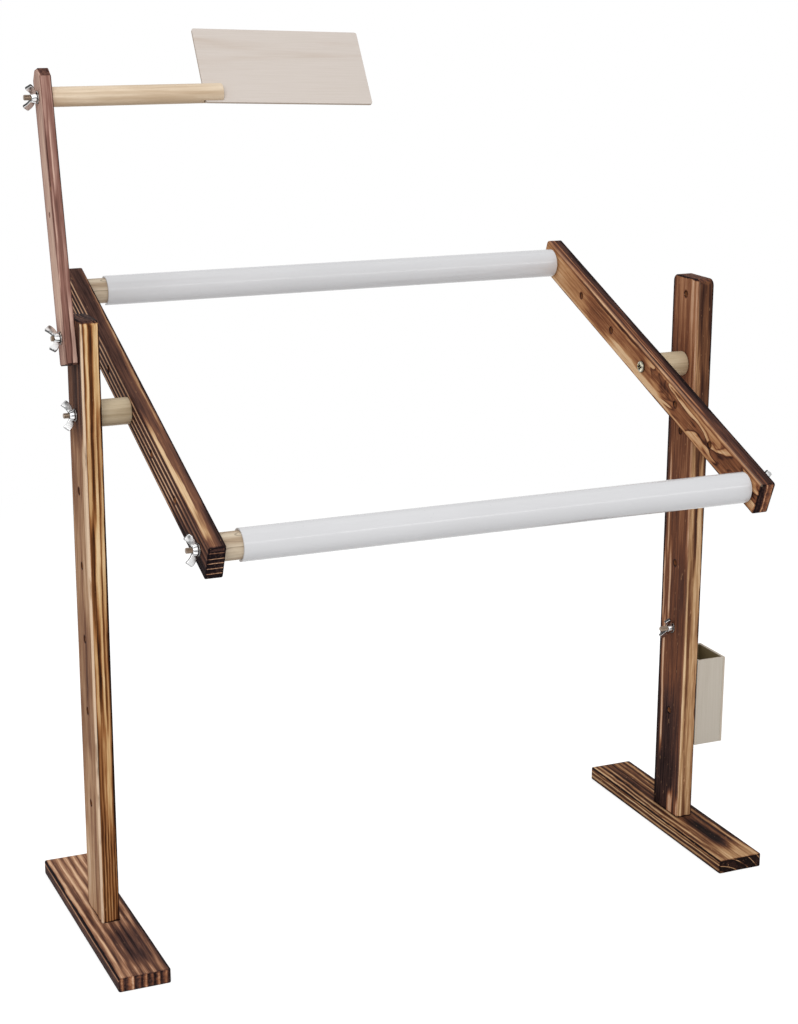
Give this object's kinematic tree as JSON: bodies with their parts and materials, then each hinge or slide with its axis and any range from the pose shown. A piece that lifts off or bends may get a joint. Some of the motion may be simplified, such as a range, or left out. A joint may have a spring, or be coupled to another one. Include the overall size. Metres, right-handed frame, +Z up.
{
  "type": "embroidery stand",
  "caption": "Free-standing wooden embroidery stand: tilting scroll frame with clip-on roller sleeves, swinging pattern holder and small thread box, fastened with wing nuts.",
  "frame": {"origin": "on the floor, under the middle of the stand's bounding box, between the two posts", "axes": "+X to the user's right along the rollers, +Y away from the user, +Z up"},
  "size_m": [0.7988, 0.5024, 0.9474],
  "materials": {
    "burnt_pine": "burnt and brushed pine",
    "pale_wood": "plain turned birch",
    "birch_plywood": "bare plywood",
    "box_plywood": "bare plywood",
    "white_plastic": "smooth white plastic",
    "zinc_hardware": "bright zinc plate"
  },
  "bodies": {
    "stand": {"left_foot": "burnt_pine", "left_post": "burnt_pine", "left_foot_front_screw": "zinc_hardware", "left_foot_rear_screw": "zinc_hardware", "left_spacer": "pale_wood", "left_pivot_bolt": "zinc_hardware", "left_pivot_washer": "zinc_hardware", "right_foot": "burnt_pine", "right_post": "burnt_pine", "right_foot_front_screw": "zinc_hardware", "right_foot_rear_screw": "zinc_hardware", "right_spacer": "pale_wood", "right_pivot_bolt": "zinc_hardware", "right_pivot_washer": "zinc_hardware", "arm_bolt": "zinc_hardware", "box_bolt": "zinc_hardware", "box_washer": "zinc_hardware"},
    "scroll_frame": {"left_side_bar": "burnt_pine", "right_side_bar": "burnt_pine", "upper_roller_left_washer": "zinc_hardware", "upper_roller_right_washer": "zinc_hardware", "lower_roller_left_washer": "zinc_hardware", "lower_roller_right_washer": "zinc_hardware"},
    "upper_roller": {"upper_roller_dowel": "pale_wood", "upper_roller_sleeve": "white_plastic", "upper_roller_left_stud": "zinc_hardware", "upper_roller_right_stud": "zinc_hardware"},
    "lower_roller": {"lower_roller_dowel": "pale_wood", "lower_roller_sleeve": "white_plastic", "lower_roller_left_stud": "zinc_hardware", "lower_roller_right_stud": "zinc_hardware"},
    "pattern_arm": {"pattern_arm": "burnt_pine", "arm_washer": "zinc_hardware"},
    "pattern_holder": {"pattern_rod": "pale_wood", "rod_stud": "zinc_hardware", "rod_washer": "zinc_hardware", "pattern_board": "birch_plywood"},
    "thread_box": {"box_back_plate": "box_plywood", "box_front_panel": "box_plywood", "box_rear_panel": "box_plywood", "box_outer_panel": "box_plywood", "box_bottom": "box_plywood"},
    "left_pivot_wing_nut": {"left_pivot_wing_nut": "zinc_hardware"},
    "right_pivot_wing_nut": {"right_pivot_wing_nut": "zinc_hardware"},
    "arm_wing_nut": {"arm_wing_nut": "zinc_hardware"},
    "box_wing_nut": {"box_wing_nut": "zinc_hardware"},
    "rod_wing_nut": {"rod_wing_nut": "zinc_hardware"},
    "upper_roller_left_wing_nut": {"upper_roller_left_wing_nut": "zinc_hardware"},
    "upper_roller_right_wing_nut": {"upper_roller_right_wing_nut": "zinc_hardware"},
    "lower_roller_left_wing_nut": {"lower_roller_left_wing_nut": "zinc_hardware"},
    "lower_roller_right_wing_nut": {"lower_roller_right_wing_nut": "zinc_hardware"}
  },
  "joints": [
    {"name": "frame_tilt", "type": "hinge", "parent": "stand", "child": "scroll_frame", "pos_m": [-0.0056, 0.00031, 0.57], "axis": [1, 0, 0], "continuous": true},
    {"name": "upper_roller_turn", "type": "hinge", "parent": "scroll_frame", "child": "upper_roller", "pos_m": [-0.0056, 0.22345, 0.65835], "axis": [1, 0, 0], "continuous": true},
    {"name": "lower_roller_turn", "type": "hinge", "parent": "scroll_frame", "child": "lower_roller", "pos_m": [-0.0056, -0.22284, 0.48165], "axis": [1, 0, 0], "continuous": true},
    {"name": "pattern_arm_swing", "type": "hinge", "parent": "stand", "child": "pattern_arm", "pos_m": [-0.0056, 0.00031, 0.65], "axis": [1, 0, 0], "range_deg": [-27, 52]},
    {"name": "pattern_board_tilt", "type": "hinge", "parent": "pattern_arm", "child": "pattern_holder", "pos_m": [-0.0056, 0.05389, 0.88394], "axis": [1, 0, 0], "range_deg": [-40, 40]},
    {"name": "thread_box_swivel", "type": "hinge", "parent": "stand", "child": "thread_box", "pos_m": [0.3614, 0.00031, 0.25], "axis": [1, 0, 0], "range_deg": [-90, 90]},
    {"name": "left_pivot_wing_nut_turn", "type": "hinge", "parent": "stand", "child": "left_pivot_wing_nut", "pos_m": [-0.3744, 0.00031, 0.57], "axis": [-1, 0, 0], "continuous": true},
    {"name": "right_pivot_wing_nut_turn", "type": "hinge", "parent": "stand", "child": "right_pivot_wing_nut", "pos_m": [0.3632, 0.00031, 0.57], "axis": [1, 0, 0], "continuous": true},
    {"name": "arm_wing_nut_turn", "type": "hinge", "parent": "stand", "child": "arm_wing_nut", "pos_m": [-0.3867, 0.00031, 0.65], "axis": [-1, 0, 0], "continuous": true},
    {"name": "box_wing_nut_turn", "type": "hinge", "parent": "stand", "child": "box_wing_nut", "pos_m": [0.3396, 0.00031, 0.25], "axis": [-1, 0, 0], "continuous": true},
    {"name": "rod_wing_nut_turn", "type": "hinge", "parent": "pattern_holder", "child": "rod_wing_nut", "pos_m": [-0.3867, 0.05389, 0.88394], "axis": [-1, 0, 0], "continuous": true},
    {"name": "upper_roller_left_wing_nut_turn", "type": "hinge", "parent": "upper_roller", "child": "upper_roller_left_wing_nut", "pos_m": [-0.3184, 0.22345, 0.65835], "axis": [-1, 0, 0], "continuous": true},
    {"name": "upper_roller_right_wing_nut_turn", "type": "hinge", "parent": "upper_roller", "child": "upper_roller_right_wing_nut", "pos_m": [0.3072, 0.22345, 0.65835], "axis": [1, 0, 0], "continuous": true},
    {"name": "lower_roller_left_wing_nut_turn", "type": "hinge", "parent": "lower_roller", "child": "lower_roller_left_wing_nut", "pos_m": [-0.3184, -0.22284, 0.48165], "axis": [-1, 0, 0], "continuous": true},
    {"name": "lower_roller_right_wing_nut_turn", "type": "hinge", "parent": "lower_roller", "child": "lower_roller_right_wing_nut", "pos_m": [0.3072, -0.22284, 0.48165], "axis": [1, 0, 0], "continuous": true}
  ]
}
